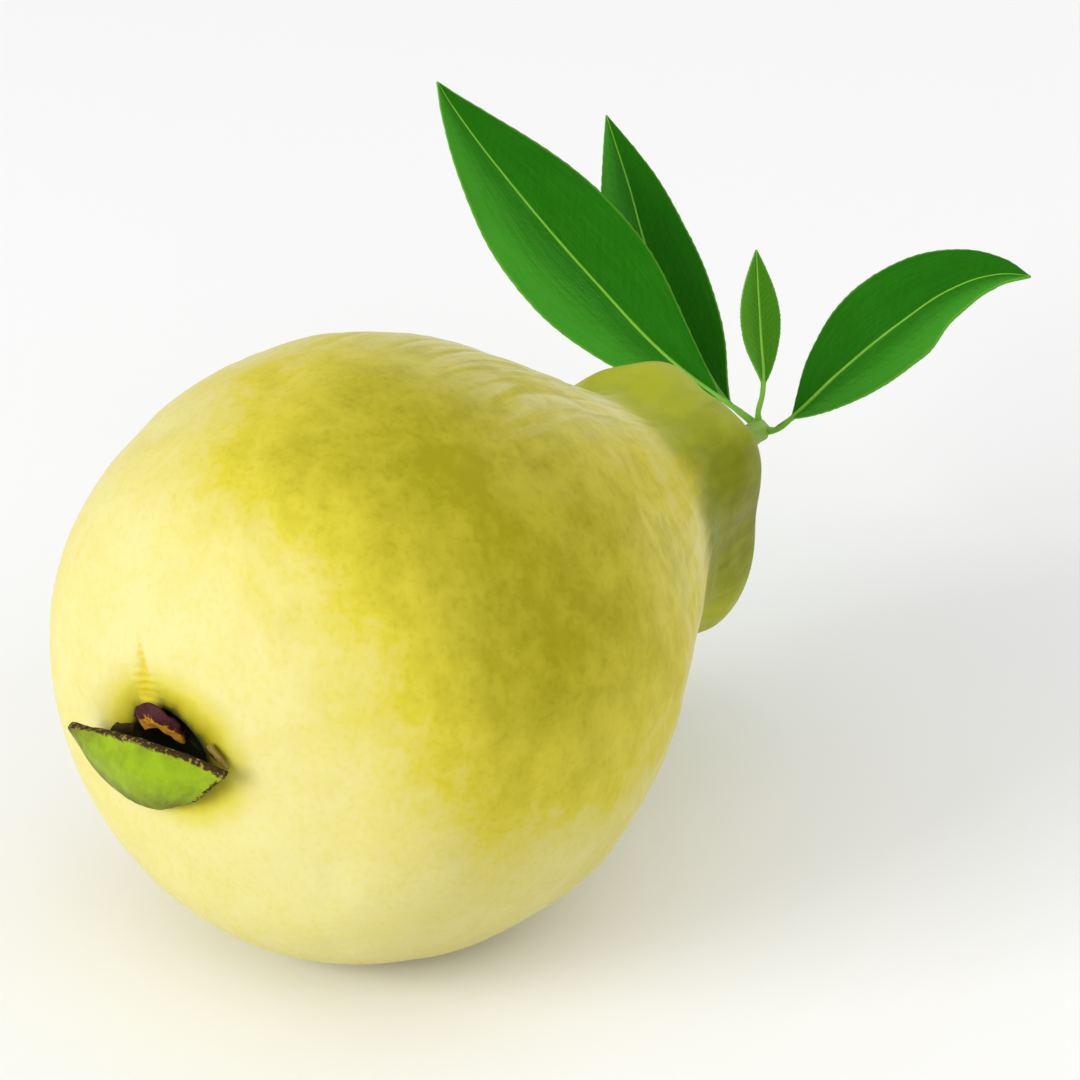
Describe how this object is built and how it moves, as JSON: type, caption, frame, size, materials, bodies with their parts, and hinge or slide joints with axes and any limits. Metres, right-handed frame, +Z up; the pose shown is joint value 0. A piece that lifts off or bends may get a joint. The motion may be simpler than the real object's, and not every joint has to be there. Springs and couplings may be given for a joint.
{
  "type": "guava",
  "caption": "Whole pear-shaped yellow guava lying on its side, with a green calyx lobe at the flower end and a leafy stalk at the other.",
  "frame": {"origin": "centre of the flat spot that the fruit rests on, in the plane of the table", "axes": "+Z up; +Y along the fruit towards its stalk end; -Y towards the flower end with the calyx; +X completes a right-handed frame"},
  "size_m": [0.0857, 0.1419, 0.073],
  "materials": {
    "fruit_skin": "smooth waxy skin, yellow with olive mottling",
    "calyx_green": "fleshy, satin, with a dried brown rim",
    "calyx_dry": "dry and papery, dark brown",
    "stamens_dry": "dry, rough, ochre",
    "stalk_green": "young green twig, satin",
    "leaf_green": "satin leaf with pale midrib and side veins",
    "leaf_young": "satin young leaf, paler green"
  },
  "bodies": {
    "root": {"fruit": "fruit_skin", "calyx_lobe_green": "calyx_green", "calyx_lobe_curled": "calyx_dry", "calyx_lobe_left": "calyx_dry", "calyx_lobe_right": "calyx_dry", "dried_stamens": "stamens_dry", "stalk": "stalk_green", "leaf_large": "leaf_green", "leaf_behind": "leaf_green", "leaf_small": "leaf_young", "leaf_right": "leaf_green"}
  },
  "joints": []
}
